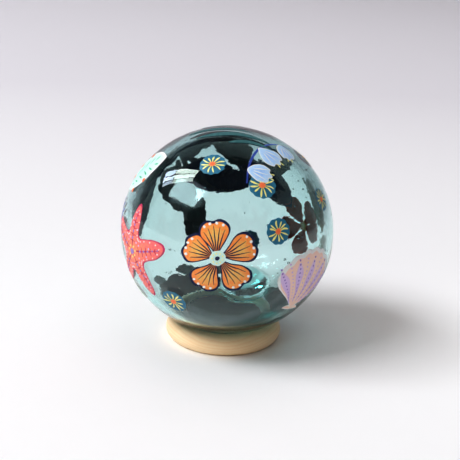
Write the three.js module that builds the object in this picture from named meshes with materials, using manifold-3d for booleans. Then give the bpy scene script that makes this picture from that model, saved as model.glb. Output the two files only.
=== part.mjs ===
// A blown glass float resting in a turned wooden ring.
// Millimetres, +Z up, origin on the table under the middle of the ring, front towards -Y.
import * as THREE from "three";
import { mergeVertices } from "three/addons/utils/BufferGeometryUtils.js";
import Module from "manifold-3d";

// Float
const FLOAT_DIAMETER = 120;
const FLOAT_HEIGHT = 117.4;
const FLOAT_SIDES = 64;
const FLOAT_BANDS = 32;

// Seal: the round plug of glass that closes the blowing hole, with a shallow crease round it
const SEAL_DIAMETER = 35;
const SEAL_FROM_BOTTOM = THREE.MathUtils.degToRad(34);
const SEAL_BEARING = THREE.MathUtils.degToRad(66);
const CREASE_DEPTH = 0.6;
const CREASE_TOOL_RADIUS = 2;
const CREASE_TOOL_SIDES = 10;
const CREASE_SIDES = 48;

// Ring
const RING_DIAMETER = 66.7;
const RING_THICKNESS = 10.8;
const RING_HEIGHT = 11.3;
const FOOT_WIDTH = 4;
const RING_SIDES = 64;
const RING_SECTION_STEPS = 18;

// Clearance left between the resting float and the ring
const SEAT_GAP = 0.3;

const UP_FROM_Y = Math.PI / 2;

const wasm = await Module();
wasm.setup();

// A geometry's closed surface as a solid that can be cut.
function solidOf(geometry) {
  const bare = geometry.clone();
  bare.deleteAttribute("normal");
  bare.deleteAttribute("uv");
  const merged = mergeVertices(bare);
  return new wasm.Manifold(
    new wasm.Mesh({
      numProp: 3,
      vertProperties: merged.attributes.position.array,
      triVerts: new Uint32Array(merged.index.array),
    }),
  );
}

// A cut solid as a geometry again.
function geometryOf(solid) {
  const { vertProperties, triVerts } = solid.getMesh();
  const geometry = new THREE.BufferGeometry();
  geometry.setAttribute("position", new THREE.BufferAttribute(vertProperties, 3));
  geometry.setIndex(new THREE.BufferAttribute(triVerts, 1));
  geometry.computeVertexNormals();
  return geometry;
}

// The ring's half section as seen from the side: a flat foot, then an oval back round to it.
// The oval is cut off by the foot, so its height and middle follow from the ring's height.
function ringSection() {
  const halfThickness = RING_THICKNESS / 2;
  const middleRadius = RING_DIAMETER / 2 - halfThickness;
  const footCosine = FOOT_WIDTH / RING_THICKNESS;
  const footSine = Math.sqrt(1 - footCosine * footCosine);
  const halfHeight = RING_HEIGHT / (1 + footSine);
  const middleHeight = halfHeight * footSine;
  const footAngle = Math.asin(footSine);
  const sweep = Math.PI + 2 * footAngle;
  const points = [];
  for (let step = 0; step <= RING_SECTION_STEPS; step += 1) {
    const angle = -footAngle + (sweep * step) / RING_SECTION_STEPS;
    const radius = middleRadius + halfThickness * Math.cos(angle);
    const height = middleHeight + halfHeight * Math.sin(angle);
    points.push(new THREE.Vector2(radius, Math.max(height, 0)));
  }
  points[0].y = 0;
  points[RING_SECTION_STEPS].y = 0;
  points.push(points[0].clone());
  return points;
}

// The height of the float's middle when it comes down until the ring is a seat gap away.
function seatedHeight(section) {
  const across = FLOAT_DIAMETER / 2 + SEAT_GAP;
  const upright = FLOAT_HEIGHT / 2 + SEAT_GAP;
  const heights = section.map(
    (point) => point.y + upright * Math.sqrt(1 - (point.x / across) ** 2),
  );
  return Math.max(...heights);
}

// A round ball with the seal's crease cut in, then pressed a little flat from pole to pole.
function makeFloat(section) {
  const radius = FLOAT_DIAMETER / 2;
  const ball = new THREE.SphereGeometry(radius, FLOAT_SIDES, FLOAT_BANDS);
  ball.rotateX(UP_FROM_Y);

  const sealAngle = Math.asin(SEAL_DIAMETER / FLOAT_DIAMETER);
  const toolDistance = radius - CREASE_DEPTH + CREASE_TOOL_RADIUS;
  const tool = new THREE.TorusGeometry(
    toolDistance * Math.sin(sealAngle),
    CREASE_TOOL_RADIUS,
    CREASE_TOOL_SIDES,
    CREASE_SIDES,
  );
  tool.translate(0, 0, -toolDistance * Math.cos(sealAngle));
  tool.rotateY(-SEAL_FROM_BOTTOM);
  tool.rotateZ(SEAL_BEARING);

  const geometry = geometryOf(solidOf(ball).subtract(solidOf(tool)));
  geometry.scale(1, 1, FLOAT_HEIGHT / FLOAT_DIAMETER);
  const glass = new THREE.MeshStandardMaterial({
    color: 0x86aeb0,
    roughness: 0.04,
    metalness: 0,
    transparent: true,
    opacity: 0.55,
  });
  const mesh = new THREE.Mesh(geometry, glass);
  mesh.name = "glass_float";
  mesh.position.z = seatedHeight(section);
  return mesh;
}

// The turned wooden ring, standing on its flat foot.
function makeRing(section) {
  const geometry = new THREE.LatheGeometry(section, RING_SIDES);
  geometry.rotateX(UP_FROM_Y);
  const wood = new THREE.MeshStandardMaterial({ color: 0xe6cfa2, roughness: 0.6, metalness: 0 });
  const mesh = new THREE.Mesh(geometry, wood);
  mesh.name = "ring_stand";
  return mesh;
}

const section = ringSection();
const group = new THREE.Group();
group.add(makeFloat(section));
group.add(makeRing(section));

export default group;
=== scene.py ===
"""A painted glass float on a turned wooden ring, laid out as a Blender add-on and run as a script."""
import math
import random

import bmesh
import bpy
from mathutils import Matrix, Quaternion, Vector, noise


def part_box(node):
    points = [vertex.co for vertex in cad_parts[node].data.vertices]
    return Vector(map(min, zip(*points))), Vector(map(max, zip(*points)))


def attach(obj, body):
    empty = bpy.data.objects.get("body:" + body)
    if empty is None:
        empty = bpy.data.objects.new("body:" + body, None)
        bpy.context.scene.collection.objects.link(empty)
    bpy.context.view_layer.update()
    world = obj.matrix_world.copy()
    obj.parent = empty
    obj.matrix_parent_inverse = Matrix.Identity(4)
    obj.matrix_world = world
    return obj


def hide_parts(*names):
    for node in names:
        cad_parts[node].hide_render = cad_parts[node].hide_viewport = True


bl_info = {
    "name": "Painted Glass Float",
    "version": (1, 0, 0),
    "blender": (4, 5, 0),
    "location": "View3D > Sidebar > Glass Float",
    "description": "Blows, paints and stages a glass float on its turned wooden ring",
    "category": "Add Mesh",
}

# Frame and what is measured from it
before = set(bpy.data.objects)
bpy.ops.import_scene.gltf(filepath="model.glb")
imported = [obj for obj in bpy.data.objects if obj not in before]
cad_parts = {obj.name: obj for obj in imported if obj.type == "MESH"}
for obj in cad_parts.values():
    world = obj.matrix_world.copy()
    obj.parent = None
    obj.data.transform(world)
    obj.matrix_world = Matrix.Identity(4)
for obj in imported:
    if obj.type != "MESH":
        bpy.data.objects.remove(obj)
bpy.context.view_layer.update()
FLOAT_LOW, FLOAT_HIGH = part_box("glass_float")
FLOAT_MIDDLE = (FLOAT_LOW + FLOAT_HIGH) / 2
FLOAT_REACH = (FLOAT_HIGH - FLOAT_LOW) / 2
RING_POINTS = [vertex.co.copy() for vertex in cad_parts["ring_stand"].data.vertices]
RING_OUTER = max(math.hypot(point.x, point.y) for point in RING_POINTS)
RING_INNER = min(math.hypot(point.x, point.y) for point in RING_POINTS)
RING_TOP = max(point.z for point in RING_POINTS)
MM = 0.001
TURN = 2 * math.pi
FOOT_RADII = [math.hypot(point.x, point.y) for point in RING_POINTS if point.z < 0.01 * MM]
FOOT_WIDTH = max(FOOT_RADII) - min(FOOT_RADII)

# The photograph's camera, as fitted to the float's and the ring's outlines in its 460 pixel frame
PHOTO_SIDE = 460
PHOTO_FOCAL = 951
PHOTO_FLOAT_MIDDLE = (227.2, 229.7)
SENSOR_WIDTH = 36

# Directions from the float's middle: to the seal, and to where the glass pooled as it cooled
SEAL_MIDDLE = Vector((0.227, 0.511, -0.829)).normalized()
POOL_MIDDLE = Vector((0.07, 0.16, -0.985)).normalized()
POOL_SPREAD = math.radians(52)
# Shares of the wall: fine waves drawn out by the blowing, and the extra thickness towards the top
DRAWN_WAVES = 0.007
HEAVY_TOP = 0.16
# The seal's button: where its edge starts, and how wide the edge is, as shares of the seal's half width
BUTTON_RIM = 1.02
BUTTON_SLOPE = 0.26
SHELL_DIVISIONS = 7
# Radii of the bubbles in the wall, and their height as a share of their width
SEED_RADII = (0.14 * MM, 0.60 * MM)
SEED_FLATNESS = 0.6
# Bubbles stay outside this many times the seal's half width
SEED_CLEARANCE = 1.3


class GlassSettings(bpy.types.PropertyGroup):
    """Sizes and clearness of the blown glass."""

    wall: bpy.props.FloatProperty(
        name="Wall", description="Mean thickness of the glass", default=3.6 * MM, unit="LENGTH"
    )
    wall_unevenness: bpy.props.FloatProperty(
        name="Unevenness", description="Share by which the wall swells and thins",
        default=0.16, subtype="FACTOR",
    )
    seal_diameter: bpy.props.FloatProperty(
        name="Seal diameter", description="Width of the plug that closes the blowing hole",
        default=35 * MM, unit="LENGTH",
    )
    seal_swell: bpy.props.FloatProperty(
        name="Seal swell", description="How far the plug swells inwards", default=8.5 * MM, unit="LENGTH"
    )
    pool: bpy.props.FloatProperty(
        name="Pool", description="Extra glass that settled at the bottom", default=8 * MM, unit="LENGTH"
    )
    crease_depth: bpy.props.FloatProperty(
        name="Crease depth", description="Depth of the crease round the plug", default=0.5 * MM, unit="LENGTH"
    )
    crease_width: bpy.props.FloatProperty(
        name="Crease width", description="Half width of that crease", default=1.0 * MM, unit="LENGTH"
    )
    seeds: bpy.props.IntProperty(name="Seeds", description="Small bubbles held in the wall", default=280)
    refraction: bpy.props.FloatProperty(name="Refraction", description="Refractive index", default=1.52)
    density: bpy.props.FloatProperty(
        name="Tint density", description="Strength of the tint in the thickness of the glass", default=62
    )
    tint: bpy.props.FloatVectorProperty(
        name="Tint", description="Colour that the glass lets through", subtype="COLOR",
        default=(0.075, 0.767, 0.739),
    )


class PaintSettings(bpy.types.PropertyGroup):
    """Thickness and finish of the painted decoration."""

    coat: bpy.props.FloatProperty(
        name="Coat", description="Thickness of one coat of paint", default=0.07 * MM, unit="LENGTH"
    )
    sunk: bpy.props.FloatProperty(
        name="Grip", description="How far the first coat reaches into the glass",
        default=0.05 * MM, unit="LENGTH",
    )
    roughness: bpy.props.FloatProperty(
        name="Roughness", description="Roughness of dry paint", default=0.38, subtype="FACTOR"
    )
    mottle: bpy.props.FloatProperty(
        name="Mottle", description="How far patches of a colour lean to its shade",
        default=0.35, subtype="FACTOR",
    )


class RingSettings(bpy.types.PropertyGroup):
    """Turning and finish of the wooden ring."""

    line_depth: bpy.props.FloatProperty(
        name="Line depth", description="Depth of the turning lines", default=0.05 * MM, unit="LENGTH"
    )
    seat_gap: bpy.props.FloatProperty(
        name="Seat gap", description="Gap left under the resting glass", default=0.02 * MM, unit="LENGTH"
    )
    growth_pitch: bpy.props.FloatProperty(
        name="Growth rings", description="Distance between growth rings", default=1.6 * MM, unit="LENGTH"
    )
    pale: bpy.props.FloatVectorProperty(
        name="Early wood", description="Paler colour of the grain", subtype="COLOR",
        default=(0.98, 0.775, 0.51),
    )
    dark: bpy.props.FloatVectorProperty(
        name="Late wood", description="Darker colour of the grain", subtype="COLOR",
        default=(0.90, 0.62, 0.33),
    )


class StageSettings(bpy.types.PropertyGroup):
    """Camera, floor and lights."""

    camera_distance: bpy.props.FloatProperty(
        name="Camera distance", description="From the float's middle", default=0.54, unit="LENGTH"
    )
    camera_height: bpy.props.FloatProperty(
        name="Camera height", description="Angle over level", default=math.radians(17.1), subtype="ANGLE"
    )
    camera_roll: bpy.props.FloatProperty(
        name="Camera roll", description="Turn about the view", default=math.radians(2.4), subtype="ANGLE"
    )
    window_radiance: bpy.props.FloatProperty(
        name="Window", description="Brightness of the window light", default=14.3
    )
    pane_radiance: bpy.props.FloatProperty(
        name="Panes", description="Brightness of the panes that shine in the glass", default=21
    )
    fill_radiance: bpy.props.FloatProperty(
        name="Fill", description="Brightness of the soft light overhead", default=0.66
    )
    print_gamma: bpy.props.FloatProperty(
        name="Print gamma", description="Under 1 deepens the darks, as in the photograph", default=0.82
    )
    room: bpy.props.FloatVectorProperty(
        name="Room", description="Even light of the room", subtype="COLOR", default=(0.075, 0.073, 0.08)
    )


def settings(name):
    """The add-on's settings of one kind."""
    return getattr(bpy.context.scene, name)


# Shapes on the float


def bearing_to(bearing, height):
    """Unit direction from the float's middle to a place on it."""
    turn, rise = math.radians(bearing), math.radians(height)
    return Vector((math.sin(turn) * math.cos(rise), -math.cos(turn) * math.cos(rise), math.sin(rise)))


def spot_at(bearing, height, turn=0):
    """A place on the float as axes: to the right, up and out, turned anticlockwise by turn."""
    out = bearing_to(bearing, height)
    right = Vector((math.cos(math.radians(bearing)), math.sin(math.radians(bearing)), 0))
    up = out.cross(right)
    axes = Matrix((right, up, out)).transposed()
    return axes @ Matrix.Rotation(math.radians(turn), 3, "Z")


def on_float(direction, lift):
    """The point of the float's surface in a direction, lifted along the surface's normal."""
    point = Vector(reach * part for reach, part in zip(FLOAT_REACH, direction))
    normal = Vector(part / reach for reach, part in zip(FLOAT_REACH, direction)).normalized()
    return FLOAT_MIDDLE + point + normal * lift


def laid(flat, spot):
    """Direction of a point of a flat drawing that is laid over the float at a spot."""
    reach = flat.xy.length
    if reach < 1e-9:
        return spot.col[2].copy()
    arc = reach / FLOAT_REACH.x
    across = flat.xy / reach * math.sin(arc)
    return spot @ Vector((across.x, across.y, math.cos(arc)))


def polar(radius, angle):
    """A flat point at a radius and an angle."""
    return radius * math.cos(angle), radius * math.sin(angle)


def in_mm(*pairs):
    """Flat points given in millimetres."""
    return [Vector(pair) * MM for pair in pairs]


def smooth_step(value):
    """0 to 1 with level ends."""
    value = min(max(value, 0.0), 1.0)
    return value * value * (3 - 2 * value)


def finished_piece(name, bm, materials, sharp=math.radians(40)):
    """Makes the object of a finished mesh, shades it, gives it its materials and lets it ride on the root."""
    mesh = bpy.data.meshes.new(name)
    bm.to_mesh(mesh)
    bm.free()
    for material in materials:
        mesh.materials.append(material)
    mesh.polygons.foreach_set("use_smooth", [True] * len(mesh.polygons))
    mesh.set_sharp_from_angle(angle=sharp)
    piece = bpy.data.objects.new(name, mesh)
    bpy.context.scene.collection.objects.link(piece)
    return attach(piece, "root")


# Materials


class Shader:
    """A material's node tree, with short ways to add and join nodes."""

    def __init__(self, name):
        self.material = bpy.data.materials.new(name)
        self.material.use_nodes = True
        self.tree = self.material.node_tree
        self.tree.nodes.clear()
        self.output = self.tree.nodes.new("ShaderNodeOutputMaterial")
        self.surface = self.tree.nodes.new("ShaderNodeBsdfPrincipled")
        self.join(self.surface.outputs["BSDF"], self.output.inputs["Surface"])

    def join(self, source, target):
        """Links a value or an output to an input."""
        if isinstance(source, bpy.types.NodeSocket):
            self.tree.links.new(source, target)
        else:
            target.default_value = source

    def node(self, kind, inputs=None, **options):
        """Adds a node with its options and inputs."""
        made = self.tree.nodes.new(kind)
        for name, value in options.items():
            setattr(made, name, value)
        for key, value in (inputs or {}).items():
            self.join(value, made.inputs[key])
        return made

    def place(self, scale=(1, 1, 1), location=(0, 0, 0)):
        """The object's own coordinates, moved and stretched."""
        coordinates = self.node("ShaderNodeTexCoord")
        mapping = self.node("ShaderNodeMapping", {"Vector": coordinates.outputs["Object"]})
        mapping.inputs["Scale"].default_value = scale
        mapping.inputs["Location"].default_value = location
        return mapping.outputs["Vector"]

    def noise(self, vector, scale, detail=2.0, roughness=0.5):
        """A soft random pattern."""
        made = self.node(
            "ShaderNodeTexNoise", {"Vector": vector, "Scale": scale, "Detail": detail, "Roughness": roughness}
        )
        return made.outputs["Fac"]

    def math(self, operation, first, second):
        """One sum of two values, held between 0 and 1."""
        made = self.node("ShaderNodeMath", operation=operation, use_clamp=True)
        self.join(first, made.inputs[0])
        self.join(second, made.inputs[1])
        return made.outputs[0]

    def spread(self, value, low, high, to_low=0.0, to_high=1.0):
        """A value stretched from one range to another."""
        made = self.node("ShaderNodeMapRange", {
            "Value": value, "From Min": low, "From Max": high, "To Min": to_low, "To Max": to_high,
        })
        return made.outputs["Result"]

    def mix(self, factor, first, second):
        """Two colours mixed."""
        made = self.node("ShaderNodeMix", data_type="RGBA")
        self.join(factor, made.inputs["Factor"])
        for colour, key in ((first, 6), (second, 7)):
            self.join(colour if isinstance(colour, bpy.types.NodeSocket) else (*colour, 1), made.inputs[key])
        return made.outputs[2]

    def bump(self, height, distance, strength):
        """Fine relief on the surface."""
        made = self.node("ShaderNodeBump", {"Height": height, "Distance": distance, "Strength": strength})
        self.join(made.outputs["Normal"], self.surface.inputs["Normal"])


def glass_material(look):
    """Clear tinted glass whose surface wavers a little."""
    shader = Shader("blown_glass")
    surface = shader.surface
    surface.inputs["Base Color"].default_value = (1, 1, 1, 1)
    surface.inputs["Roughness"].default_value = 0.0
    surface.inputs["IOR"].default_value = look.refraction
    surface.inputs["Transmission Weight"].default_value = 1
    wavering = shader.noise(shader.place(scale=(1, 1, 1.8)), scale=110, detail=3.0, roughness=0.62)
    shader.bump(wavering, 0.08 * MM, 0.6)
    absorption = shader.node("ShaderNodeVolumeAbsorption")
    absorption.inputs["Color"].default_value = (*look.tint, 1)
    absorption.inputs["Density"].default_value = look.density
    shader.join(absorption.outputs["Volume"], shader.output.inputs["Volume"])
    return shader.material


def paint_material(name, body, shade, first):
    """Dry brushed paint: its body colour runs into its shade as the tone grows, with streaks of the brush."""
    look = settings("paint")
    shader = Shader(name)
    tone = shader.node("ShaderNodeAttribute", attribute_name="tone", attribute_type="GEOMETRY").outputs["Fac"]
    mottle = shader.noise(shader.place(), scale=900, detail=3.0)
    streaks = shader.noise(shader.place(scale=(1, 1, 0.25)), scale=1800)
    patches = shader.spread(mottle, 0.3, 0.7, -look.mottle, look.mottle)
    colour = shader.mix(shader.math("ADD", shader.spread(tone, 0, 1), patches), body, shade)
    thin = shader.spread(streaks, 0.35, 0.75, 0.0, 0.14)
    colour = shader.mix(thin, colour, tuple(min(1.0, part * 1.35 + 0.05) for part in body))
    if first:
        bristles = shader.noise(shader.place(scale=(1, 0.35, 0.22)), scale=520, detail=4.0, roughness=0.65)
        # First coats get lighter streaks along the bristles: thin dry-brushed paint, lightened as painted
        # light that shows through it.
        worn = tuple(part * 1.6 + base for part, base in zip(body, (0.030, 0.034, 0.030)))
        colour = shader.mix(shader.spread(bristles, 0.46, 0.72, 0.0, 0.75), colour, worn)
    shader.join(colour, shader.surface.inputs["Base Color"])
    rough = shader.spread(mottle, 0.3, 0.7, look.roughness - 0.08, look.roughness + 0.12)
    shader.join(rough, shader.surface.inputs["Roughness"])
    shader.surface.inputs["Specular IOR Level"].default_value = 0.08 if first else 0.5
    shader.bump(streaks, 0.05 * MM, 0.7)
    return shader.material


def wood_material(look):
    """Pale bare wood: growth rings that run through the ring, long fibres and soft clouds of colour."""
    shader = Shader("turned_wood")
    heart = shader.place(location=(0, 0.012, 0.055))
    growth = shader.node(
        "ShaderNodeTexWave",
        {"Vector": heart, "Scale": 0.314 / look.growth_pitch,
         "Distortion": 2.2, "Detail": 2.0, "Detail Scale": 0.6},
        wave_type="RINGS", rings_direction="X", wave_profile="SAW",
    ).outputs["Fac"]
    fibres = shader.noise(shader.place(scale=(0.06, 1, 1)), scale=2600, detail=3.0, roughness=0.6)
    clouds = shader.noise(shader.place(scale=(0.4, 1, 1)), scale=90)
    late_wood = shader.spread(growth, 0.45, 1.0, 0.0, 0.55)
    grain = shader.math("ADD", late_wood, shader.spread(fibres, 0.5, 0.8, 0.0, 0.4))
    grain = shader.math("ADD", grain, shader.spread(clouds, 0.35, 0.7, 0.0, 0.25))
    shader.join(shader.mix(grain, look.pale, look.dark), shader.surface.inputs["Base Color"])
    shader.join(shader.spread(fibres, 0.3, 0.7, 0.48, 0.62), shader.surface.inputs["Roughness"])
    shader.bump(fibres, 0.03 * MM, 0.6)
    return shader.material


def floor_material():
    """Matt white paper with a trace of tooth, turning lilac grey further back: painted shade for the light
    that falls off with distance.
    """
    shader = Shader("studio_paper")
    tooth = shader.noise(shader.place(), scale=60, detail=4.0)
    near = shader.mix(tooth, (0.874, 0.881, 0.888), (0.884, 0.891, 0.898))
    depth = shader.node("ShaderNodeSeparateXYZ", {"Vector": shader.place()}).outputs["Y"]
    # Painted shade: further back the paper turns lilac grey, standing in for the light that falls off with
    # distance
    far = shader.mix(shader.spread(depth, 1.0, 3.5), (0.735, 0.725, 0.762), (0.70, 0.69, 0.725))
    shader.join(shader.mix(shader.spread(depth, 0.05, 0.95), near, far), shader.surface.inputs["Base Color"])
    shader.join(shader.spread(tooth, 0, 1, 0.7, 0.8), shader.surface.inputs["Roughness"])
    return shader.material


# Blown glass


def seal_angle(direction):
    """Angle between a direction and the middle of the seal."""
    return direction.angle(SEAL_MIDDLE)


def outer_sink(direction):
    """How far the crease round the seal sinks the outer surface."""
    look = settings("glass")
    off = (seal_angle(direction) * FLOAT_REACH.x - look.seal_diameter / 2) / look.crease_width
    return look.crease_depth * math.exp(-off * off)


def wall_at(direction, look):
    """Thickness of the glass in a direction: uneven from blowing, with the seal's flat button inside."""
    slow = noise.noise(direction * 1.4 + Vector((3.1, 0.4, 7.7)))
    drawn = noise.noise(Vector((direction.x * 2.2, direction.y * 2.2, direction.z * 16)) + Vector((9, 2, 5)))
    wall = look.wall * (1 + look.wall_unevenness * slow + DRAWN_WAVES * drawn + HEAVY_TOP * direction.z)
    wall += look.pool * smooth_step(1 - direction.angle(POOL_MIDDLE) / POOL_SPREAD)
    arc = seal_angle(direction) * FLOAT_REACH.x / (look.seal_diameter / 2)
    return wall + look.seal_swell * smooth_step((BUTTON_RIM - arc) / BUTTON_SLOPE)


def add_seed(bm, direction, depth, size, stretch):
    """A bubble held in the wall: a small closed hollow, drawn out sideways."""
    sphere = bmesh.ops.create_icosphere(bm, subdivisions=2, radius=1)
    verts = sphere["verts"]
    side = direction.cross(Vector((0, 0, 1))).normalized()
    axes = Matrix((side, direction.cross(side), direction)).transposed()
    middle = on_float(direction, -depth)
    for vert in verts:
        shape = Vector((vert.co.x * size * stretch, vert.co.y * size, vert.co.z * size * SEED_FLATNESS))
        vert.co = middle + axes @ shape
    faces = {face for vert in verts for face in vert.link_faces}
    bmesh.ops.reverse_faces(bm, faces=list(faces))


class FLOAT_OT_blow_glass(bpy.types.Operator):
    """Blow the float: a closed shell of uneven glass with its seal and the bubbles in its wall"""

    bl_idname = "glass_float.blow_glass"
    bl_label = "Blow the glass"

    def execute(self, context):
        look = settings("glass")
        bm = bmesh.new()
        bmesh.ops.create_icosphere(bm, subdivisions=SHELL_DIVISIONS, radius=1)
        rim = look.seal_diameter / 2 / FLOAT_REACH.x
        near = 3 * look.crease_width / FLOAT_REACH.x
        by_crease = [
            edge for edge in bm.edges
            if all(abs(seal_angle(vert.co) - rim) < near for vert in edge.verts)
        ]
        bmesh.ops.subdivide_edges(bm, edges=by_crease, cuts=1, use_grid_fill=True)
        for vert in bm.verts:
            direction = vert.co.normalized()
            vert.co = on_float(direction, -outer_sink(direction))

        inner = bmesh.ops.create_icosphere(bm, subdivisions=SHELL_DIVISIONS, radius=1)["verts"]
        for vert in inner:
            direction = vert.co.normalized()
            vert.co = on_float(direction, -wall_at(direction, look))
        bmesh.ops.reverse_faces(bm, faces=list({face for vert in inner for face in vert.link_faces}))

        dice = random.Random(12)
        for _ in range(look.seeds):
            direction = Vector([dice.gauss(0, 1) for _ in range(3)]).normalized()
            if seal_angle(direction) < rim * SEED_CLEARANCE:
                continue
            size = SEED_RADII[0] + (SEED_RADII[1] - SEED_RADII[0]) * dice.random() ** 2
            add_seed(bm, direction, look.wall * dice.uniform(0.35, 0.65), size, dice.uniform(1.0, 2.6))

        piece = finished_piece("blown_float", bm, [glass_material(look)], sharp=math.radians(60))
        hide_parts("glass_float")
        return {"FINISHED"}


# Paint

# Each colour's body and shade, in linear light
PAINTS = {
    "navy": ((0.012, 0.018, 0.055), (0.02, 0.03, 0.08)),
    "orange": ((0.777, 0.521, 0.145), (0.881, 0.248, 0.053)),
    "ice": ((0.483, 0.723, 0.669), (0.651, 0.829, 0.777)),
    "white": ((0.881, 0.89, 0.872), (0.812, 0.829, 0.829)),
    "peach": ((0.915, 0.687, 0.521), (0.915, 0.633, 0.559)),
    "lilac": ((0.614, 0.444, 0.759), (0.723, 0.559, 0.829)),
    "violet": ((0.302, 0.192, 0.521), (0.364, 0.237, 0.577)),
    "coral": ((0.864, 0.302, 0.132), (0.777, 0.145, 0.18)),
    "magenta": ((0.42, 0.03, 0.10), (0.50, 0.05, 0.14)),
    "sea_blue": ((0.017, 0.126, 0.226), (0.029, 0.192, 0.312)),
    "yellow": ((0.881, 0.812, 0.18), (0.898, 0.864, 0.384)),
    "vermilion": ((0.881, 0.18, 0.06), (0.898, 0.259, 0.107)),
    "sky": ((0.312, 0.54, 0.915), (0.521, 0.723, 0.949)),
    "mint": ((0.511, 0.846, 0.759), (0.651, 0.898, 0.829)),
    "leaf_green": ((0.053, 0.424, 0.259), (0.094, 0.521, 0.323)),
    "sage": ((0.404, 0.559, 0.364), (0.521, 0.651, 0.463)),
    "cobalt": ((0.029, 0.06, 0.333), (0.053, 0.107, 0.463)),
    "deep_teal": ((0.004, 0.016, 0.022), (0.007, 0.028, 0.036)),
    "lagoon": ((0.003, 0.036, 0.042), (0.006, 0.060, 0.066)),
    "tide": ((0.045, 0.135, 0.145), (0.06, 0.17, 0.18)),
    "rust": ((0.42, 0.045, 0.025), (0.50, 0.07, 0.035)),
    "olive": ((0.10, 0.11, 0.035), (0.14, 0.15, 0.05)),
    "ocean": ((0.037, 0.215, 0.28), (0.081, 0.364, 0.404)),
    "fern": ((0.053, 0.259, 0.168), (0.145, 0.404, 0.259)),
}
# First coats, which wet the glass and have no gloss of their own where they show through it
# Their dark colours are partly painted shade: seen through the glass they stand for the backs of the paint in
# the dim inside of the float, and where they reach past the coats on them they are dark outlines.
FIRST_COATS = ("navy", "deep_teal", "lagoon", "tide", "rust", "olive", "magenta")
# A coat reaches this share of its thickness into the coat under it
COAT_REACH = 0.6
# Each patch lies this much over the one laid before it, so that no two faces share a place
LAYING_STEP = 0.0002 * MM
# The painter's hand: waves in a metre and how far they carry the brush, slow ones and quick ones
SWAY = (160, 0.45 * MM)
SHAKE = (520, 0.13 * MM)
# Fixes the noise that moves the hand, which otherwise starts from the clock
HAND_SEED = 5
# Steps along a brushed band, and how far its free edge strays, in degrees
BAND_STEPS = 90
BAND_STRAY = 3.2


def disc(sides, rings):
    """A flat round drawing of unit size, spun from one spoke. Tone grows from its middle to its rim."""
    bm = bmesh.new()
    tone = bm.verts.layers.float.new("tone")
    spoke = [bm.verts.new((ring / rings, 0, 0)) for ring in range(rings + 1)]
    edges = [bm.edges.new(pair) for pair in zip(spoke, spoke[1:])]
    bmesh.ops.spin(
        bm, geom=spoke + edges, cent=(0, 0, 0), axis=(0, 0, 1), angle=TURN, steps=sides, use_merge=True
    )
    bmesh.ops.remove_doubles(bm, verts=bm.verts, dist=1e-5)
    for vert in bm.verts:
        vert[tone] = vert.co.xy.length
    return bm


def strip(steps):
    """A flat strip from -1 to 1, three points wide. Tone grows from its start to its end."""
    bm = bmesh.new()
    tone = bm.verts.layers.float.new("tone")
    bmesh.ops.create_grid(bm, x_segments=steps, y_segments=2, size=1)
    for vert in bm.verts:
        vert[tone] = (vert.co.x + 1) / 2
    return bm


def along(points, share):
    """Place and heading at a share of the curve that three points draw."""
    start, middle, end = (Vector(point) for point in points)
    place = start * (1 - share) ** 2 + middle * 2 * share * (1 - share) + end * share**2
    heading = (middle - start) * (1 - share) + (end - middle) * share
    return place, heading.normalized()


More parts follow.
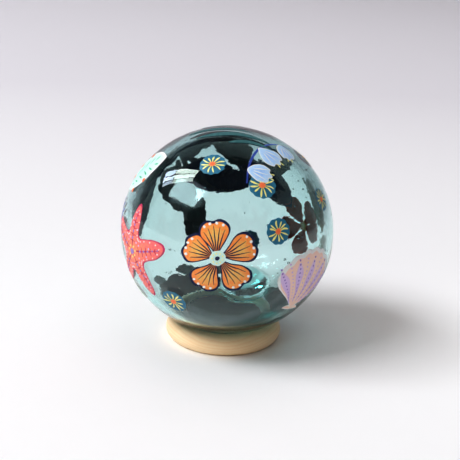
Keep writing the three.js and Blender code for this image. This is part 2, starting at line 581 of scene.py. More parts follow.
class Film:
    """Paint laid on the float as thin closed patches, gathered in one piece.

    Where it lies over other paint, under is how thick that is.
    """

    def __init__(self, under=0.0):
        self.under = under
        noise.seed_set(HAND_SEED)
        self.bm = bmesh.new()
        self.bm.verts.layers.float.new("tone")
        self.colours = []
        self.laid = 0

    def lay(self, drawing, spot, coat, colour, crown):
        """Closes a flat drawing into a film of one coat, lays it on the float and adds it."""
        look = settings("paint")
        self.laid += 1
        order = self.laid * LAYING_STEP
        low = order + (-look.sunk if coat == 0 else self.under + look.coat * (coat - COAT_REACH))
        high = order + self.under + look.coat * (coat + 1)
        raised = bmesh.ops.extrude_face_region(drawing, geom=list(drawing.faces))["geom"]
        tops = {element for element in raised if isinstance(element, bmesh.types.BMVert)}
        for vert in drawing.verts:
            lift = low + (high - low) * crown(vert.co.z) if vert in tops else low
            place = Vector((vert.co.x, vert.co.y, 0))
            hand = Vector((0, 0, 0))
            for waves, carry in (SWAY, SHAKE):
                hand += noise.noise_vector(place * waves) * carry
            direction = laid(place + hand, spot)
            vert.co = on_float(direction, lift - outer_sink(direction))
        bmesh.ops.recalc_face_normals(drawing, faces=drawing.faces)
        if colour not in self.colours:
            self.colours.append(colour)
        for face in drawing.faces:
            face.material_index = self.colours.index(colour)
        mesh = bpy.data.meshes.new("drawing")
        drawing.to_mesh(mesh)
        drawing.free()
        self.bm.from_mesh(mesh)
        bpy.data.meshes.remove(mesh)

    def patch(self, spot, outline, colour, coat=0, sides=48, rings=5):
        """A filled shape. The outline turns a point of the unit disc into a place on the drawing."""
        drawing = disc(sides, rings)
        for vert in drawing.verts:
            rim = vert.co.xy.length
            vert.co = (*outline(vert.co.x, vert.co.y), rim)
        self.lay(drawing, spot, coat, colour, lambda rim: 1 - 0.5 * rim**10)

    def dot(self, spot, at, radius, colour, coat=2, sides=10):
        """A round touch of the brush that stands up in its middle."""
        drawing = disc(sides, 2)
        for vert in drawing.verts:
            rim = vert.co.xy.length
            vert.co = (at[0] + vert.co.x * radius, at[1] + vert.co.y * radius, rim)
        self.lay(drawing, spot, coat, colour, lambda rim: 1.9 - 1.3 * rim * rim)

    def stroke(self, spot, points, width, colour, coat=1, steps=10, blunt=0.25, swell=0.35):
        """One pull of the brush along three points: full where it swells, thin at its ends."""
        drawing = strip(steps)
        for vert in drawing.verts:
            share = (vert.co.x + 1) / 2
            place, heading = along(points, share)
            belly = math.sin(math.pi * min(max(share, 0.02), 0.98) ** (math.log(0.5) / math.log(swell)))
            half = width / 2 * (blunt + (1 - blunt) * belly)
            side = Vector((-heading.y, heading.x)) * half * vert.co.y
            vert.co = (place.x + side.x, place.y + side.y, abs(vert.co.y))
        self.lay(drawing, spot, coat, colour, lambda edge: 1 - 0.45 * edge)

    def ground(self, bearings, heights, colour):
        """A first coat brushed round the float between two bearings and two heights, with uneven edges."""
        drawing = strip(BAND_STEPS)
        rungs = [edge for edge in drawing.edges if abs(edge.verts[0].co.y - edge.verts[1].co.y) > 0.1]
        bmesh.ops.subdivide_edges(drawing, edges=rungs, cuts=3, use_grid_fill=True)
        middle = (heights[0] + heights[1]) / 2
        half = (heights[1] - heights[0]) / 2
        for vert in drawing.verts:
            bearing = bearings[0] + (bearings[1] - bearings[0]) * (vert.co.x + 1) / 2
            closing = 1 - abs(vert.co.x) ** 6
            ragged = noise.noise(Vector((bearing * 0.11, vert.co.y * 2 + 7, 1.5))) * BAND_STRAY
            height = middle + half * vert.co.y * closing + ragged * max(0, vert.co.y)
            place = polar(math.radians(90 + height) * FLOAT_REACH.x, math.radians(90 - bearing))
            vert.co = (*place, abs(vert.co.y))
        self.lay(drawing, spot_at(0, -90), 0, colour, lambda edge: 1 - 0.4 * edge)

    def finish(self, name):
        """The finished piece with its paints."""
        return finished_piece(name, self.bm, [paint_of(colour) for colour in self.colours])


def paint_of(colour):
    """The paint of that name, mixed once."""
    found = bpy.data.materials.get("paint_" + colour)
    return found or paint_material("paint_" + colour, *PAINTS[colour], colour in FIRST_COATS)


def round_outline(radius, wobble, lobes):
    """A round shape with low lobes."""

    def outline(x, y):
        rim, angle = math.hypot(x, y), math.atan2(y, x)
        return polar(radius * rim * (1 + wobble * math.cos(lobes * angle)), angle)

    return outline


def petal_outline(start, length, width, angle, grow=0.0):
    """A petal that leaves a middle at some distance and opens outwards, with a notch in its tip."""
    heading = Vector((math.cos(angle), math.sin(angle)))
    side = Vector((-heading.y, heading.x))

    def outline(x, y):
        reach = (y + 1) / 2
        opening = 0.34 + 0.66 * smooth_step(reach * 1.25)
        dip = 0.10 * length * max(0.0, y) ** 3 * math.exp(-((x / 0.28) ** 2))
        out = start + length * reach - dip + grow * y
        place = heading * out + side * x * (width / 2 * opening + grow)
        return place.x, place.y

    return outline


def leaf_outline(length, width, curve, start=0.0, grow=0.0):
    """A leaf with two pointed ends, curved along its length."""

    def outline(x, y):
        slim = (1 - min(y * y, 1.0)) ** 0.28
        across = x * (width / 2 + grow) * slim + curve * (1 - y * y)
        return start + (length / 2 + grow) * (y + 1), across

    return outline


def paint_blossom(film, spot, reach, body, edge, heart):
    """Five broad notched petals with dark edges, fine veins and pale dots."""
    core = reach * 0.16
    width = reach * 0.86
    for petal in range(5):
        angle = TURN * petal / 5 + 0.1 * math.sin(petal * 2.3)
        size = (reach - core) * (1 + 0.06 * math.cos(petal * 1.7))
        film.patch(spot, petal_outline(core, size, width, angle, grow=0.55 * MM), edge, 0)
        film.patch(spot, petal_outline(core, size * 0.95, width * 0.93, angle), body, 1)
        for vein in (-2, -1, 0, 1, 2):
            tip = core + size * (0.80 - 0.05 * abs(vein))
            points = [
                polar(core * 1.25, angle + vein * 0.13), polar(core + size * 0.45, angle + vein * 0.15),
                polar(tip, angle + vein * 0.185),
            ]
            film.stroke(spot, points, 0.62 * MM, edge, 2, steps=8, blunt=0.3, swell=0.3)
        for touch in (-1.5, -0.5, 0.5, 1.5):
            place = polar(core + size * (0.885 - 0.035 * abs(touch)), angle + touch * 0.185)
            film.dot(spot, place, 0.78 * MM, "white", 2, sides=9)
    film.patch(spot, round_outline(core * 1.25, 0.05, 7), heart, 2, sides=28, rings=3)
    for touch in range(9):
        film.dot(spot, polar(core * 0.8, TURN * touch / 9), 0.42 * MM, "yellow", 3, sides=8)
    film.dot(spot, (0, 0), core * 0.34, edge, 3)


def paint_daisy(film, spot, radius, seed):
    """A small round blue flower with yellow strokes and a red middle."""
    dice = random.Random(seed)
    rays = 11
    film.patch(spot, round_outline(radius, 0.035, rays), "sea_blue", 0, sides=66, rings=4)
    for ray in range(rays):
        angle = TURN * (ray + 0.5) / rays + dice.uniform(-0.10, 0.10)
        far = radius * dice.uniform(0.74, 0.96)
        bend = angle + dice.uniform(-0.30, 0.30)
        points = [polar(radius * 0.20, angle), polar(radius * 0.55, bend), polar(far, angle)]
        film.stroke(spot, points, dice.uniform(0.8, 1.15) * MM, "yellow", 1, steps=8, blunt=0.4, swell=0.66)
    film.dot(spot, (0, 0), radius * 0.23, "vermilion", 2, sides=14)


class FLOAT_OT_paint_blossoms(bpy.types.Operator):
    """Paint the orange blossom on the front and its plainer sister at the back"""

    bl_idname = "glass_float.paint_blossoms"
    bl_label = "Paint the blossoms"

    def execute(self, context):
        front = Film()
        paint_blossom(front, spot_at(-4, 3, 24), 20.5 * MM, "orange", "navy", "ice")
        front.finish("painted_blossom_front")
        back = Film()
        # The rust first coat of the back blossom shows through the glass as painted shade for its back, and
        # round its petals as a dark edge.
        paint_blossom(back, spot_at(126, -4, 50), 19 * MM, "coral", "rust", "orange")
        back.finish("painted_blossom_back")
        return {"FINISHED"}


class FLOAT_OT_paint_daisies(bpy.types.Operator):
    """Paint the small blue flowers all round the float"""

    bl_idname = "glass_float.paint_daisies"
    bl_label = "Paint the small flowers"

    def execute(self, context):
        film = Film()
        places = [(22, 40), (-14, 52), (68, 26), (-30, -27), (27, 16), (-104, -20), (100, 46), (165, -22)]
        for index, (bearing, height) in enumerate(places):
            size = 7.4 * MM * (1 - 0.07 * (index % 3))
            paint_daisy(film, spot_at(bearing, height, 13 * index), size, index)
        film.finish("painted_daisies")
        return {"FINISHED"}


class FLOAT_OT_paint_shell(bpy.types.Operator):
    """Paint the large ribbed shell in peach and lilac with its white edge"""

    bl_idname = "glass_float.paint_shell"
    bl_label = "Paint the shell"

    def execute(self, context):
        film = Film()
        spot = spot_at(49, -15, -14)
        ribs = 9
        fan = math.radians(112)
        radius = 38 * MM
        hinge = Vector((0, -20 * MM))

        def shell(scale, grow):
            def outline(x, y):
                reach = (y + 1) / 2
                lean = x * fan / 2 * (1 - 0.25 * (1 - reach))
                lobes = 0.05 * abs(math.cos(lean / fan * ribs * math.pi)) * reach
                far = (radius * scale * reach * (0.96 + lobes)) + grow * (2 * reach - 1)
                across = math.sin(lean) * (far + 1.6 * MM) * (math.sqrt(max(0.0, 1 - y * y)) * 0.25 + 0.75)
                return hinge.x + across * (1 + grow / (18 * MM)), hinge.y + math.cos(lean) * far

            return outline

        film.patch(spot, shell(1.0, 1.7 * MM), "white", 0, sides=96, rings=10)
        film.patch(spot, shell(0.985, 0), "peach", 1, sides=96, rings=10)
        for rib in range(ribs):
            lean = fan * 0.86 * ((rib + 0.5) / ribs - 0.5)
            ridge = Vector((math.sin(lean), math.cos(lean))) * radius
            broad = rib % 2 == 0
            if broad:
                points = [hinge + ridge * share for share in (0.18, 0.52, 0.86)]
                film.stroke(spot, points, 5.2 * MM, "lilac", 2, steps=14, blunt=0.12, swell=0.72)
            for touch in range(11):
                share = 0.26 + 0.64 * touch / 10
                size = (0.30 + 0.36 * share) * MM
                film.dot(spot, hinge + ridge * share, size, "violet" if broad else "lilac", 3, sides=8)
        for ear in (-1, 1):
            points = [hinge + point for point in in_mm((ear * 0.5, 1.2), (ear * 3.6, 2.6), (ear * 7, 1.0))]
            film.stroke(spot, points, 3.0 * MM, "white", 1, steps=8, swell=0.4)
            film.stroke(spot, points, 1.9 * MM, "peach", 2, steps=8, swell=0.4)
        film.finish("painted_shell")
        return {"FINISHED"}


class FLOAT_OT_paint_starfish(bpy.types.Operator):
    """Paint the coral red starfish with magenta lines and violet dots"""

    bl_idname = "glass_float.paint_starfish"
    bl_label = "Paint the starfish"

    def execute(self, context):
        film = Film()
        spot = spot_at(-57, -4, 14)
        reach = 27 * MM

        def edge_at(angle):
            arm = 0.5 + 0.5 * math.cos(5 * angle)
            return reach * (0.42 + 0.58 * arm**1.7)

        def twisted(angle, share):
            return angle + 0.10 * share * math.sin(angle * 2 + 0.6)

        def star(scale, grow):
            def outline(x, y):
                rim, angle = math.hypot(x, y), math.atan2(y, x)
                return polar((edge_at(angle) * scale + grow) * rim, twisted(angle, rim))

            return outline

        film.patch(spot, star(1.0, 0.5 * MM), "magenta", 0, sides=120, rings=8)
        film.patch(spot, star(0.97, 0), "coral", 1, sides=120, rings=8)
        for arm in range(5):
            angle = TURN * arm / 5
            line = ((0.08, 0), (0.45, 0.05), (0.86, 0))
            points = [polar(reach * share, angle + lean) for share, lean in line]
            film.stroke(spot, points, 0.8 * MM, "magenta", 2, steps=9, blunt=0.4)
            for rung in range(5):
                share = 0.22 + 0.13 * rung
                for side in (-1, 1):
                    lean = side * (0.40 - 0.055 * rung)
                    points = [
                        polar(reach * share, angle), polar(reach * (share + 0.05), angle + lean * 0.5),
                        polar(reach * (share + 0.02), angle + lean * (0.95 - 0.16 * rung)),
                    ]
                    film.stroke(spot, points, 0.5 * MM, "magenta", 2, steps=5, blunt=0.45)
                size = (0.85 - 0.1 * rung) * MM
                film.dot(spot, polar(reach * (share + 0.08), angle + 0.02), size, "violet", 3)
        for touch in range(60):
            angle = TURN * touch / 60
            edge = edge_at(angle)
            film.dot(spot, polar(edge * 0.86, twisted(angle, 0.86)), 0.42 * MM, "white", 2, 7)
            if touch % 3 == 1:
                film.dot(spot, polar(edge * 0.64, angle), 0.55 * MM, "lilac", 2, 8)
        film.dot(spot, (0, 0), 1.7 * MM, "violet", 3, sides=12)
        for touch in range(7):
            film.dot(spot, polar(3.2 * MM, TURN * touch / 7), 0.6 * MM, "yellow", 3, 8)
        film.finish("painted_starfish")
        return {"FINISHED"}


class FLOAT_OT_paint_bells(bpy.types.Operator):
    """Paint the pale blue bell flowers on their bent stem"""

    bl_idname = "glass_float.paint_bells"
    bl_label = "Paint the bell flowers"

    def execute(self, context):
        film = Film()
        spot = spot_at(40, 56, 12)
        stem = in_mm((-24, -6), (-2, 18), (23, 3))
        film.stroke(spot, stem, 1.3 * MM, "cobalt", 0, steps=24, blunt=0.5)
        for share, size in ((0.14, 0.95), (0.50, 1.05), (0.86, 0.9)):
            place, heading = along(stem, share)
            hang = math.atan2(heading.y, heading.x) - math.pi / 2
            self.bell(film, spot, place, hang, 13 * MM * size)
        film.finish("painted_bells")
        return {"FINISHED"}

    def bell(self, film, spot, top, hang, length):
        """One bell that opens downwards, with a white edge and yellow threads."""
        heading = Vector((math.cos(hang), math.sin(hang)))
        side = Vector((-heading.y, heading.x))

        def outline(grow):
            def shape(x, y):
                reach = (y + 1) / 2
                flare = 0.42 + 0.30 * math.sin(reach * 2.6) + 0.34 * reach**3
                skirt = 0.07 * length * math.cos(x * 3 * math.pi) * max(0.0, y) ** 2
                place = top + heading * (length * reach + skirt + grow * y)
                place += side * x * (length * 0.56 * flare + grow)
                return place.x, place.y

            return shape

        film.patch(spot, outline(0.55 * MM), "white", 1, sides=60, rings=5)
        film.patch(spot, outline(0), "sky", 2, sides=60, rings=5)
        for thread in (-0.5, 0, 0.5):
            start = top + heading * length * 0.25 + side * thread * length * 0.18
            end = top + heading * length * 0.9 + side * thread * length * 0.62
            middle = (start + end) / 2 + side * thread * 0.4 * MM
            film.stroke(spot, [start, middle, end], 0.6 * MM, "white", 3, steps=6)
        for thread in (-0.35, 0.35):
            start = top + heading * length * 0.98 + side * thread * length * 0.3
            end = start + heading * 2.6 * MM + side * thread * 1.4 * MM
            film.stroke(spot, [start, (start + end) / 2, end], 0.8 * MM, "yellow", 1, steps=5, swell=0.7)


class FLOAT_OT_paint_leaves(bpy.types.Operator):
    """Paint the leaves: mint with berries and sage in front, and the dark spray across the back"""

    bl_idname = "glass_float.paint_leaves"
    bl_label = "Paint the leaves"

    def execute(self, context):
        self.mint_leaf()
        self.sage_leaves()
        self.dark_spray()
        self.crown_strokes()
        return {"FINISHED"}

    def mint_leaf(self):
        """A broad mint leaf with green strokes, a white edge and red berries, and blue curls by it."""
        film = Film()
        spot = spot_at(-77, 36, 58)
        for colour, coat, grow in (("white", 0, 0.8 * MM), ("mint", 1, 0)):
            leaf = leaf_outline(33 * MM, 21 * MM, 1.5 * MM, start=-16 * MM, grow=grow)
            film.patch(spot, leaf, colour, coat, sides=64, rings=6)
        for step in range(6):
            foot = -11 + 4.3 * step
            for side in (-1, 1):
                reach = side * 6.4 * math.sin(math.pi * (step + 1.2) / 7.6)
                points = in_mm((foot, side * 1.4), (foot + 1.8, reach * 0.7), (foot + 3.0, reach))
                film.stroke(spot, points, 1.2 * MM, "leaf_green", 2, steps=6, swell=0.6)
        for berry in in_mm((-12, 7), (-5, 10.5), (5, 10.6), (-8, -8.6), (3, -9.2)):
            film.dot(spot, berry, 1.35 * MM, "vermilion", 3, sides=12)
        for curl in range(3):
            points = in_mm((-20, -3 - 4.6 * curl), (-27, 1 - 5 * curl), (-31, -6 - 4 * curl))
            film.stroke(spot, points, 2.2 * MM, "cobalt", 0, steps=14, swell=0.3)
        film.finish("painted_mint_leaf")

    def sage_leaves(self):
        """Two narrow sage leaves low on the right and one low on the left."""
        film = Film()
        for bearing, height, turn, length in ((78, -22, 60, 25), (88, -30, 95, 21), (-62, -36, 150, 22)):
            spot = spot_at(bearing, height, turn)
            for colour, coat, grow in (("navy", 0, 0.5 * MM), ("sage", 1, 0)):
                leaf = leaf_outline(length * MM, 7.5 * MM, 1.4 * MM, grow=grow)
                film.patch(spot, leaf, colour, coat, sides=48)
            rib = in_mm((1.5, 0), (length / 2, 2.8), (length - 2, 0.4))
            film.stroke(spot, rib, 0.7 * MM, "leaf_green", 2, steps=12)
        film.finish("painted_sage_leaves")

    def dark_spray(self):
        """A spray of large leaves across the upper back, whose dark first coat shows through the glass as
        painted shade for the leaves' backs.
        """
        leaves = (
            (-108, 8, 75, 46, 25, "navy", "ocean"), (-122, 40, 118, 48, 25, "navy", "fern"),
            (-142, 12, 50, 48, 25, "deep_teal", "ocean"), (-150, 50, 100, 42, 22, "navy", "cobalt"),
            (-172, 22, 20, 46, 24, "navy", "ocean"), (178, 46, 70, 40, 22, "deep_teal", "fern"),
            (154, 18, 35, 46, 24, "navy", "cobalt"), (138, 40, 125, 40, 21, "deep_teal", "ocean"),
            (104, 16, 80, 38, 20, "olive", "sage"), (-175, 74, 10, 34, 16, "navy", "fern"),
            (-158, -10, 95, 30, 13, "deep_teal", "cobalt"), (92, -14, 60, 30, 15, "olive", "fern"),
            (-166, 60, 128, 34, 17, "navy", "ocean"), (158, 63, 28, 32, 15, "deep_teal", "cobalt"),
        )
        # The leaves after the first twelve lie over others, so their paint starts higher
        leaves_under = 12
        paint_under = 2.2 * settings("paint").coat
        for index, (bearing, height, turn, length, width, first, body) in enumerate(leaves):
            film = Film(paint_under if index >= leaves_under else 0.0)
            spot = spot_at(bearing, height, turn)
            self.brushed_leaf(film, spot, length * MM, width * MM, first, body, index)
            film.finish("painted_spray_leaf_%02d" % index)

    def crown_strokes(self):
        """Three long dark strokes of weed over the top."""
        film = Film()
        spot = spot_at(0, 78)
        for x, y, length, width in ((1, -1, 40, 6.5), (-7, 8, 34, 5.5), (12, -9, 26, 4.5)):
            points = in_mm((x - length / 2, y), (x, y + 5), (x + length / 2, y - 1))
            film.stroke(spot, points, width * MM, "deep_teal", 0, steps=30, blunt=0.15, swell=0.4)
            film.stroke(spot, points, width * 0.7 * MM, "tide", 1, steps=30, blunt=0.1, swell=0.4)
        film.finish("painted_crown_weed")

    def brushed_leaf(self, film, spot, length, width, first, body, seed):
        """One leaf: a dark first coat with feathered edges, painted shade where it shows through the glass,
        with a lighter coat on it and pale veins.
        """
        dice = random.Random(seed)
        bend = dice.uniform(-0.10, 0.10) * length
        start = -length / 2

        def on_rib(share):
            return Vector((start + length * share, 4 * bend * share * (1 - share)))

        film.patch(spot, leaf_outline(length, width, bend, start), first, 0, sides=64, rings=7)
        for share in (0.12, 0.30, 0.48, 0.66):
            for side in (-1, 1):
                reach = width * 0.5 * math.sin(math.pi * (share + 0.1)) * dice.uniform(0.96, 1.12)
                root = on_rib(share) + Vector((0, side * reach * 0.55))
                tip = on_rib(share) + Vector((length * dice.uniform(0.26, 0.36), side * reach * 0.86))
                middle = (root + tip) / 2 + Vector((0, side * width * 0.10))
                broad = dice.uniform(4.5, 7.0) * MM
                film.stroke(spot, [root, middle, tip], broad, first, 0, steps=10, swell=0.45)
        blade = leaf_outline(length * 0.95, width * 0.86, bend, start + length * 0.02)
        film.patch(spot, blade, body, 1, sides=64, rings=7)
        rib = [on_rib(0.03), Vector((0, 2 * bend)), on_rib(0.95)]
        film.stroke(spot, rib, 1.0 * MM, "ice", 2, steps=16, blunt=0.2)
        for vein in range(5):
            share = 0.16 + 0.15 * vein
            foot = on_rib(share)
            out = width * 0.36 * math.sin(math.pi * (share + 0.06))
            for side in (-1, 1):
                tip = on_rib(share + 0.12) + Vector((0, side * out))
                middle = (foot + tip) / 2 + Vector((0.9 * MM, 0))
                film.stroke(spot, [foot, middle, tip], 0.6 * MM, "ice", 2, steps=6, blunt=0.25)


class FLOAT_OT_paint_stones(bpy.types.Operator):
    """Paint the rounded stones low at the back, with dark bands under them and a dark round coat under the
    float, partly painted shade for the lower glass
    """

    bl_idname = "glass_float.paint_stones"
    bl_label = "Paint the stones"

    def execute(self, context):
        film = Film()
        stones = (
            (-160, -55, 4, 23, 14, "ocean"), (-128, -54, -6, 26, 15, "sage"),
            (-97, -55, 5, 22, 13, "sea_blue"), (112, -54, -8, 24, 14, "ocean"), (84, -55, 0, 19, 12, "sage"),
            (-144, -42, 12, 14, 9, "peach"), (100, -42, -14, 13, 8, "sky"), (-171, -43, 4, 12, 8, "mint"),
            (-112, -43, 8, 11, 8, "peach"),
        )
        # Dark bands low at the back: partly a painted sea floor under the stones, partly painted shade that
        # darkens the lower glass and what its bottom reflects
        film.ground((184, 266), (-61, -44), "lagoon")
        film.ground((72, 124), (-61, -49), "lagoon")
        for index, (bearing, height, turn, length, width, body) in enumerate(stones):
            dice = random.Random(40 + index)
            spot = spot_at(bearing, height, turn)
            long_half, short_half = length / 2 * MM, width / 2 * MM
            film.patch(spot, self.stone(long_half, short_half), "tide", 1, sides=72, rings=14)
            film.patch(spot, self.stone(long_half * 0.93, short_half * 0.92), body, 2, sides=72, rings=14)
            for line in (0.78, 0.55):
                start, end = dice.uniform(0.3, 0.6), dice.uniform(2.2, 2.7)
                points = []
                for angle, stretch in ((start, 1), ((start + end) / 2, 1.35), (end, 1)):
                    x, y = polar(line, angle)
                    points.append((long_half * x, short_half * y * stretch))
                film.stroke(spot, points, 0.8 * MM, "ice", 3, steps=14, blunt=0.2)
            for _ in range(9):
                x, y = polar(math.sqrt(dice.random()) * 0.7, -dice.uniform(0.2, 2.9))
                size = dice.uniform(0.35, 0.75) * MM
                film.dot(spot, (long_half * x, short_half * y), size, "white", 3, 8)
        # Painted shade: a dark round coat under the float darkens the view through the bottom of the glass
        film.patch(spot_at(0, -90), self.painted_shade_disc(22.5, 0), "lagoon", 0, sides=96, rings=12)
        film.patch(spot_at(0, -90), self.painted_shade_disc(20.5, 1), "ocean", 1, sides=96, rings=12)
        film.finish("painted_stones")
        return {"FINISHED"}

    def painted_shade_disc(self, spread, lobes):
        """A dark round coat under the float, drawn in where the seal is: painted shade that darkens the view
        through the bottom of the glass.
        """
        seal_way = math.atan2(-SEAL_MIDDLE.y, SEAL_MIDDLE.x)

        def outline(x, y):
            rim, angle = math.hypot(x, y), math.atan2(y, x)
            off = math.remainder(angle - seal_way, TURN) / math.radians(30)
            reach = spread - 8.5 * math.exp(-off * off) + 0.6 * lobes * math.cos(9 * angle)
            return polar(math.radians(reach) * FLOAT_REACH.x * rim, angle)

        return outline

    def stone(self, long_half, short_half):
        """A rounded, slightly square outline."""

        def outline(x, y):
            rim, angle = math.hypot(x, y), math.atan2(y, x)
            swell = 1 + 0.05 * math.cos(4 * angle) + 0.04 * math.cos(3 * angle + 1)
            across, up = polar(rim * swell, angle)
            return long_half * across, short_half * up

        return outline


# Turned ring

# The worn seat fades into the section where the gap has grown by this much
SEAT_FADE = 0.3 * MM
RING_SEGMENTS = 150
RING_STEPS = 224


def gap_to_float(radius, height):
    """Rough gap between a point of the ring's section and the float."""
    across = radius / FLOAT_REACH.x
    upright = (height - FLOAT_MIDDLE.z) / FLOAT_REACH.z
    return (math.hypot(across, upright) - 1) * FLOAT_REACH.x


class FLOAT_OT_turn_ring(bpy.types.Operator):
    """Turn the wooden ring: an oval section with a flat foot, a worn seat and fine turning lines"""

    bl_idname = "glass_float.turn_ring"
    bl_label = "Turn the ring"

    def execute(self, context):
        look = settings("ring")
        half_width = (RING_OUTER - RING_INNER) / 2
        middle_radius = (RING_OUTER + RING_INNER) / 2
        foot_sine = math.sqrt(1 - (FOOT_WIDTH / 2 / half_width) ** 2)
        half_height = RING_TOP / (1 + foot_sine)
        middle_height = half_height * foot_sine

        def on_section(angle, depth=0.0):
            x, y = polar(1, angle)
            return middle_radius + (half_width - depth) * x, middle_height + (half_height - depth) * y

        seat_clearance = min(gap_to_float(*on_section(math.pi * step / 90)) for step in range(90))

        bm = bmesh.new()
        section = bmesh.ops.create_circle(bm, segments=RING_SEGMENTS, radius=1, cap_ends=False)["verts"]
        for vert in section:
            angle = math.atan2(vert.co.y, vert.co.x)
            lines = noise.noise(Vector((angle * 14, 0.5, 3.5)))
            lines += 0.6 * noise.noise(Vector((angle * 31, 8.5, 1.5)))
            radius, height = on_section(angle, look.line_depth * (0.5 + 0.5 * lines))
            spare = gap_to_float(radius, height) - seat_clearance
            rise = (seat_clearance - look.seat_gap) * math.exp(-((spare / SEAT_FADE) ** 2))
            radius += rise * math.cos(angle)
            height += rise * math.sin(angle)
            vert.co = (radius, 0, max(height, 0))
        bmesh.ops.spin(
            bm, geom=list(bm.verts) + list(bm.edges), cent=(0, 0, 0), axis=(0, 0, 1), angle=TURN,
            steps=RING_STEPS, use_merge=True,
        )
        bmesh.ops.recalc_face_normals(bm, faces=bm.faces)
        piece = finished_piece("turned_ring", bm, [wood_material(look)])
        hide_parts("ring_stand")
        return {"FINISHED"}


# Stage

# The paper sweep: half a side, how far its middle stands forward, and the rise and bend at its back
PAPER_HALF_SIDE = 14
PAPER_FORWARD = 8
PAPER_RISE = 4
PAPER_BEND = 1.5
# The long side of the window's frame, as its light and its pale reflection share it
WINDOW_LONG_WAY = (0.455, -0.874, 0.171)
# The leaded panes: columns along the window and rows across it, as offsets and widths in angle
PANE_COLUMNS = ((-0.19, 0.18, (0.70, 0.84, 1.0)), (0.10, 0.37, (0.84, 1.0, 0.93)))
PANE_ROWS = ((-0.11, 0.06, 0.55), (-0.03, 0.075, 1.0), (0.065, 0.085, 0.8))


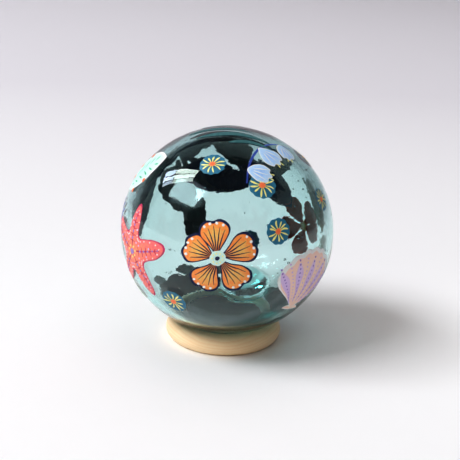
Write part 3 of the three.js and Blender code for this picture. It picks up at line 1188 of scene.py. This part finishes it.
class FLOAT_OT_set_stage(bpy.types.Operator):
    """Set the stage: pale floor, window light, soft room and the photograph's camera"""

    bl_idname = "glass_float.set_stage"
    bl_label = "Set the stage"

    def execute(self, context):
        look = settings("stage")
        self.lay_floor()
        self.light_room(look)
        self.shine_panes(look)
        self.fill_room(look)
        self.set_camera(look)
        return {"FINISHED"}

    def lay_floor(self):
        """One wide sheet of paper, level under the float and swept up far behind it."""
        bm = bmesh.new()
        bmesh.ops.create_grid(bm, x_segments=8, y_segments=8, size=PAPER_HALF_SIDE)
        bmesh.ops.translate(bm, verts=bm.verts, vec=(0, -PAPER_FORWARD, 0))
        back = PAPER_HALF_SIDE - PAPER_FORWARD - 0.1
        far = [edge for edge in bm.edges if all(vert.co.y > back for vert in edge.verts)]
        raised = bmesh.ops.extrude_edge_only(bm, edges=far)["geom"]
        raised = [part for part in raised if isinstance(part, bmesh.types.BMVert)]
        bmesh.ops.translate(bm, verts=raised, vec=(0, 0, PAPER_RISE))
        bmesh.ops.bevel(
            bm, geom=far, offset=PAPER_BEND, segments=8, profile=0.5, affect="EDGES", material=-1
        )
        bmesh.ops.recalc_face_normals(bm, faces=bm.faces)
        mesh = bpy.data.meshes.new("paper_sweep")
        bm.to_mesh(mesh)
        bm.free()
        mesh.materials.append(floor_material())
        floor = bpy.data.objects.new("paper_sweep", mesh)
        bpy.context.scene.collection.objects.link(floor)

    def hang(self, name, to_light, long_way, spans, radiance, colour, distance, unseen):
        """Hangs a rectangular light towards a direction, with spans given as angles and rays that miss it."""
        to_light = Vector(to_light).normalized()
        long_way = Vector(long_way)
        long_way = (long_way - to_light * long_way.dot(to_light)).normalized()
        turn = Matrix((long_way, to_light.cross(long_way), to_light)).transposed().to_4x4()
        light = bpy.data.lights.new(name, "AREA")
        light.shape = "RECTANGLE"
        light.size, light.size_y = (2 * distance * math.tan(span / 2) for span in spans)
        light.energy = radiance * light.size * light.size_y * math.pi
        light.color = colour
        lamp = bpy.data.objects.new(name, light)
        lamp.matrix_world = Matrix.Translation(FLOAT_MIDDLE + to_light * distance) @ turn
        for rays in unseen:
            setattr(lamp, "visible_" + rays, False)
        bpy.context.scene.collection.objects.link(lamp)

    def light_room(self, look):
        """Window light from the left, and soft fill from overhead and in front."""
        window, fill = look.window_radiance, look.fill_radiance
        self.hang("window", (-0.655, -0.21, 0.725), WINDOW_LONG_WAY, (0.63, 0.34), window,
                  (0.97, 0.975, 1.0), 8, ("glossy",))
        self.hang("ceiling", (0, 0.1, 1), (1, 0, 0), (1.4, 1.4), fill,
                  (1.0, 0.95, 0.915), 9, ("glossy", "transmission"))
        self.hang("front_card", (-0.35, -0.86, 0.38), (1, 0, 0), (0.9, 0.5), fill * 1.7,
                  (1.0, 0.87, 0.76), 5, ("glossy", "transmission"))

    def shine_panes(self, look):
        """The window's panes as the glass reflects them: a bright leaded pair, and a paler one by them."""
        to_light = Vector((-0.66, 0.115, 0.742)).normalized()
        long_way = Vector((0.517, -0.608, 0.602))
        short_way = to_light.cross(long_way).normalized()
        for column, length, tint in PANE_COLUMNS:
            for row, width, share in PANE_ROWS:
                aim = to_light + long_way * column + short_way * row
                self.hang("bright_pane", aim, long_way, (length, width), look.pane_radiance * share,
                          tint, 4, ("diffuse", "transmission"))
        self.hang("pale_pane", (-0.63, -0.29, 0.72), WINDOW_LONG_WAY, (0.60, 0.40), look.pane_radiance * 0.09,
                  (0.80, 0.90, 1.0), 4, ("diffuse",))

    def fill_room(self, look):
        """The room's even light, and how light is carried through the glass."""
        scene = bpy.context.scene
        world = bpy.data.worlds.new("room")
        world.use_nodes = True
        world.node_tree.nodes["Background"].inputs["Color"].default_value = (*look.room, 1)
        scene.world = world
        scene.view_settings.view_transform = "Standard"
        scene.view_settings.gamma = look.print_gamma
        scene.cycles.max_bounces = 24
        scene.cycles.transmission_bounces = 18
        scene.cycles.glossy_bounces = 8
        scene.cycles.use_denoising = True

    def set_camera(self, look):
        """The camera at the photograph's place, with its roll and the float where it stands in the frame."""
        scene = bpy.context.scene
        camera = bpy.data.cameras.new("photo_camera")
        camera.sensor_width = SENSOR_WIDTH
        camera.lens = PHOTO_FOCAL / PHOTO_SIDE * SENSOR_WIDTH
        camera.shift_x = (PHOTO_SIDE / 2 - PHOTO_FLOAT_MIDDLE[0]) / PHOTO_SIDE
        camera.shift_y = (PHOTO_FLOAT_MIDDLE[1] - PHOTO_SIDE / 2) / PHOTO_SIDE
        camera.clip_start = 0.01
        holder = bpy.data.objects.new("photo_camera", camera)
        back = Vector((0, -math.cos(look.camera_height), math.sin(look.camera_height)))
        holder.rotation_mode = "QUATERNION"
        aim = (-back).to_track_quat("-Z", "Y")
        holder.rotation_quaternion = aim @ Quaternion((0, 0, 1), look.camera_roll)
        holder.location = FLOAT_MIDDLE + back * look.camera_distance
        scene.collection.objects.link(holder)
        scene.camera = holder


class FLOAT_PT_panel(bpy.types.Panel):
    """Lists the steps in the 3D view's sidebar"""

    bl_label = "Glass Float"
    bl_idname = "FLOAT_PT_panel"
    bl_space_type = "VIEW_3D"
    bl_region_type = "UI"
    bl_category = "Glass Float"

    def draw(self, context):
        for kind in SETTINGS:
            box = self.layout.box()
            box.label(text=kind.capitalize())
            group = settings(kind)
            for name in group.__annotations__:
                box.prop(group, name)
        for operator in STEPS:
            self.layout.operator(operator.bl_idname)


SETTINGS = {"glass": GlassSettings, "paint": PaintSettings, "ring": RingSettings, "stage": StageSettings}
STEPS = (
    FLOAT_OT_set_stage,
    FLOAT_OT_blow_glass,
    FLOAT_OT_turn_ring,
    FLOAT_OT_paint_blossoms,
    FLOAT_OT_paint_daisies,
    FLOAT_OT_paint_shell,
    FLOAT_OT_paint_starfish,
    FLOAT_OT_paint_bells,
    FLOAT_OT_paint_leaves,
    FLOAT_OT_paint_stones,
)


def register():
    """Adds the add-on's classes and settings."""
    for group in SETTINGS.values():
        bpy.utils.register_class(group)
    for operator in STEPS:
        bpy.utils.register_class(operator)
    bpy.utils.register_class(FLOAT_PT_panel)
    for name, group in SETTINGS.items():
        setattr(bpy.types.Scene, name, bpy.props.PointerProperty(type=group))


def unregister():
    """Takes them away again."""
    for name in SETTINGS:
        delattr(bpy.types.Scene, name)
    bpy.utils.unregister_class(FLOAT_PT_panel)
    for operator in reversed(STEPS):
        bpy.utils.unregister_class(operator)
    for group in SETTINGS.values():
        bpy.utils.unregister_class(group)


def main():
    """Makes every piece."""
    register()
    for operator in STEPS:
        area, name = operator.bl_idname.split(".")
        getattr(getattr(bpy.ops, area), name)()


if __name__ == "__main__":
    main()
